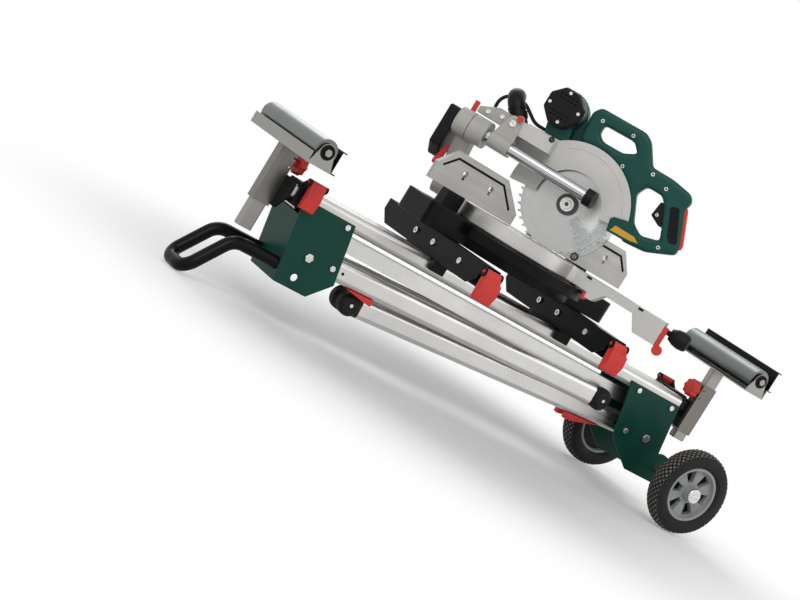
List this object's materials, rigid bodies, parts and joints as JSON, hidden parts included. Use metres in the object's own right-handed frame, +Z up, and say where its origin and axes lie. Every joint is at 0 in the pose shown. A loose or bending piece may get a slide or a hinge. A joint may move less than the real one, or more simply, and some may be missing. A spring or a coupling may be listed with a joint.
{
  "type": "mitre saw on stand",
  "caption": "Sliding compound mitre saw clamped on a folding aluminium stand with transport wheels, pull-out roller supports and a pull handle.",
  "frame": {"origin": "on the floor under the middle of the outline, with the stand folded and resting on its wheels and pull handle", "axes": "+X along the beam towards the wheels, +Y away from the operator, +Z up"},
  "size_m": [1.4134, 0.5113, 0.72],
  "materials": {
    "aluminium_bright": "extruded, clear anodised",
    "green_paint": "satin dark green",
    "black_paint": "satin black",
    "zinc": "zinc plated",
    "black_rubber": "matt",
    "tyre_rubber": "matt",
    "black_plastic": "fine grain",
    "grey_plastic": "fine grain",
    "red_plastic": "smooth",
    "green_plastic": "fine grain",
    "bright_steel": "ground",
    "chrome_tube": "polished",
    "grey_casting": "cast, light grey coat",
    "clear_plastic": "clear, slightly smoky"
  },
  "bodies": {
    "frame": {"beam": "aluminium_bright", "lower_rail": "aluminium_bright", "left_end_bracket": "green_paint", "right_end_bracket": "green_paint", "frame_bolts": "zinc", "pull_handle": "black_plastic", "wheel_axle": "grey_plastic", "extension_clamps": "black_plastic"},
    "wheel_front": {"tyre_front": "tyre_rubber", "rim_front": "grey_plastic"},
    "wheel_rear": {"tyre_rear": "tyre_rubber", "rim_rear": "grey_plastic"},
    "leg_pair_left": {"legs_left": "aluminium_bright", "feet_left": "black_rubber"},
    "leg_pair_right": {"legs_right": "aluminium_bright", "feet_right": "black_rubber"},
    "extension_left": {"extension_tube_left": "aluminium_bright", "post_socket_left": "black_plastic", "outer_post_left": "aluminium_bright"},
    "extension_right": {"extension_tube_right": "aluminium_bright", "post_socket_right": "black_plastic", "outer_post_right": "aluminium_bright"},
    "clamp_lever_left": {"extension_lever_left": "red_plastic"},
    "clamp_lever_right": {"extension_lever_right": "red_plastic"},
    "post_left": {"roller_post_left": "bright_steel"},
    "post_right": {"roller_post_right": "bright_steel"},
    "support_roller_left": {"roller_left": "bright_steel"},
    "support_roller_right": {"roller_right": "bright_steel"},
    "stop_left": {"stop_plate_left": "black_paint"},
    "stop_right": {"stop_plate_right": "black_paint"},
    "knob_left": {"post_knob_left": "red_plastic"},
    "knob_right": {"post_knob_right": "red_plastic"},
    "saw_mount": {"saw_carrier_left": "black_paint", "saw_carrier_right": "black_paint", "saw_base": "black_paint"},
    "paddle_left": {"carrier_lever_left": "red_plastic"},
    "paddle_right": {"carrier_lever_right": "red_plastic"},
    "fence_slide_left": {"fence_left": "grey_casting"},
    "fence_slide_right": {"fence_right": "grey_casting"},
    "mitre_table": {"turntable": "grey_casting", "table_insert": "black_plastic"},
    "mitre_grip": {"mitre_knob": "black_plastic"},
    "mitre_detent": {"mitre_lever": "red_plastic"},
    "bevel_frame": {"bevel_arm": "grey_casting", "rear_cover": "black_plastic", "slide_tubes": "chrome_tube"},
    "bevel_handle": {"bevel_lever": "red_plastic"},
    "slide_lock_knob": {"slide_lock": "red_plastic"},
    "carriage": {"slide_carriage": "grey_casting"},
    "head_lock_pin": {"head_lock": "red_plastic"},
    "saw_head": {"upper_guard": "grey_casting", "motor_housing": "green_plastic", "motor_cap": "black_plastic", "head_handle": "green_plastic", "dust_elbow": "black_plastic", "power_cable": "black_rubber"},
    "trigger_switch": {"trigger": "black_plastic"},
    "blade": {"saw_blade": "bright_steel", "blade_flange": "zinc"},
    "lower_guard_swing": {"lower_guard": "clear_plastic"}
  },
  "joints": [
    {"name": "wheel_front_roll", "type": "hinge", "parent": "frame", "child": "wheel_front", "pos_m": [0.60675, -0.14526, 0.1], "axis": [0, 1, 0], "continuous": true},
    {"name": "wheel_rear_roll", "type": "hinge", "parent": "frame", "child": "wheel_rear", "pos_m": [0.60675, 0.22674, 0.1], "axis": [0, 1, 0], "continuous": true},
    {"name": "leg_left_fold", "type": "hinge", "parent": "frame", "child": "leg_pair_left", "pos_m": [-0.47125, 0.04074, 0.148], "axis": [0, 1, 0], "range_deg": [0, 98]},
    {"name": "leg_right_fold", "type": "hinge", "parent": "frame", "child": "leg_pair_right", "pos_m": [0.52875, 0.04074, 0.148], "axis": [0, -1, 0], "range_deg": [0, 100]},
    {"name": "extension_left_pull", "type": "slide", "parent": "frame", "child": "extension_left", "axis": [-1, 0, 0], "range_m": [0, 0.65]},
    {"name": "extension_right_pull", "type": "slide", "parent": "frame", "child": "extension_right", "axis": [1, 0, 0], "range_m": [0, 0.65]},
    {"name": "clamp_lever_left_lift", "type": "hinge", "parent": "frame", "child": "clamp_lever_left", "pos_m": [-0.53925, -0.02426, 0.281], "axis": [-1, 0, 0], "range_deg": [0, 75]},
    {"name": "clamp_lever_right_lift", "type": "hinge", "parent": "frame", "child": "clamp_lever_right", "pos_m": [0.59675, 0.10574, 0.281], "axis": [1, 0, 0], "range_deg": [0, 75]},
    {"name": "post_left_lift", "type": "slide", "parent": "extension_left", "child": "post_left", "axis": [0, 0, 1], "range_m": [0, 0.1]},
    {"name": "post_right_lift", "type": "slide", "parent": "extension_right", "child": "post_right", "axis": [0, 0, 1], "range_m": [-0.041, 0.059]},
    {"name": "roller_left_spin", "type": "hinge", "parent": "post_left", "child": "support_roller_left", "pos_m": [-0.60325, 0.04074, 0.351], "axis": [0, 1, 0], "continuous": true},
    {"name": "roller_right_spin", "type": "hinge", "parent": "post_right", "child": "support_roller_right", "pos_m": [0.66075, 0.04074, 0.392], "axis": [0, 1, 0], "continuous": true},
    {"name": "stop_left_lift", "type": "slide", "parent": "post_left", "child": "stop_left", "axis": [0, 0, 1], "range_m": [0, 0.025]},
    {"name": "stop_right_lift", "type": "slide", "parent": "post_right", "child": "stop_right", "axis": [0, 0, 1], "range_m": [-0.022, 0]},
    {"name": "knob_left_turn", "type": "hinge", "parent": "extension_left", "child": "knob_left", "pos_m": [-0.57225, 0.04074, 0.296], "axis": [1, 0, 0], "continuous": true},
    {"name": "knob_right_turn", "type": "hinge", "parent": "extension_right", "child": "knob_right", "pos_m": [0.62975, 0.04074, 0.296], "axis": [1, 0, 0], "continuous": true},
    {"name": "saw_along_beam", "type": "slide", "parent": "frame", "child": "saw_mount", "axis": [1, 0, 0], "range_m": [-0.18, 0.18]},
    {"name": "paddle_left_lift", "type": "hinge", "parent": "saw_mount", "child": "paddle_left", "pos_m": [-0.19625, -0.20026, 0.3081], "axis": [-1, 0, 0], "range_deg": [0, 80]},
    {"name": "paddle_right_lift", "type": "hinge", "parent": "saw_mount", "child": "paddle_right", "pos_m": [0.17375, -0.20026, 0.3081], "axis": [-1, 0, 0], "range_deg": [0, 80]},
    {"name": "fence_left_pull", "type": "slide", "parent": "saw_mount", "child": "fence_slide_left", "axis": [-1, 0, 0], "range_m": [0, 0.06]},
    {"name": "fence_right_pull", "type": "slide", "parent": "saw_mount", "child": "fence_slide_right", "axis": [1, 0, 0], "range_m": [0, 0.06]},
    {"name": "mitre_turn", "type": "hinge", "parent": "saw_mount", "child": "mitre_table", "pos_m": [-0.01125, 0.06074, 0.3704], "axis": [0, 0, 1], "range_deg": [-90, 0]},
    {"name": "mitre_knob_turn", "type": "hinge", "parent": "mitre_table", "child": "mitre_grip", "pos_m": [0.26311, -0.21362, 0.386], "axis": [0.7071, -0.7071, 0], "continuous": true},
    {"name": "mitre_lever_press", "type": "hinge", "parent": "mitre_table", "child": "mitre_detent", "pos_m": [0.23786, -0.21666, 0.3944], "axis": [-0.7071, -0.7071, 0], "range_deg": [0, 20], "stiffness_Nm_per_rad": 0.8},
    {"name": "bevel_tilt", "type": "hinge", "parent": "mitre_table", "child": "bevel_frame", "pos_m": [-0.13711, 0.18661, 0.4024], "axis": [0.7071, -0.7071, 0], "range_deg": [0, 22.5]},
    {"name": "bevel_lever_turn", "type": "hinge", "parent": "bevel_frame", "child": "bevel_handle", "pos_m": [-0.19439, 0.18166, 0.474], "axis": [-0.7071, 0.7071, 0], "range_deg": [0, 30]},
    {"name": "slide_lock_turn", "type": "hinge", "parent": "bevel_frame", "child": "slide_lock_knob", "pos_m": [-0.19722, 0.17459, 0.57], "axis": [0, 0, 1], "range_deg": [0, 90]},
    {"name": "saw_slide", "type": "slide", "parent": "bevel_frame", "child": "carriage", "axis": [0.7071, -0.7071, 0], "range_m": [0, 0.17]},
    {"name": "head_lock_pull", "type": "slide", "parent": "carriage", "child": "head_lock_pin", "axis": [-0.7071, -0.7071, 0], "range_m": [0, 0.006], "stiffness_N_per_m": 200},
    {"name": "chop", "type": "hinge", "parent": "carriage", "child": "saw_head", "pos_m": [-0.12863, 0.11307, 0.59], "axis": [-0.7071, -0.7071, 0], "range_deg": [0, 38]},
    {"name": "blade_spin", "type": "hinge", "parent": "saw_head", "child": "blade", "pos_m": [0.03047, 0.01902, 0.505], "axis": [-0.7071, -0.7071, 0], "continuous": true},
    {"name": "lower_guard_lift", "type": "hinge", "parent": "saw_head", "child": "lower_guard_swing", "pos_m": [0.03047, 0.01902, 0.505], "axis": [-0.7071, -0.7071, 0], "range_deg": [-83.6, 0]},
    {"name": "trigger_squeeze", "type": "slide", "parent": "saw_head", "child": "trigger_switch", "axis": [0.7071, -0.7071, 0], "range_m": [0, 0.006], "stiffness_N_per_m": 300}
  ],
  "couplings": [
    {"joint": "lower_guard_lift", "follows": "chop", "ratio": -2.2}
  ]
}
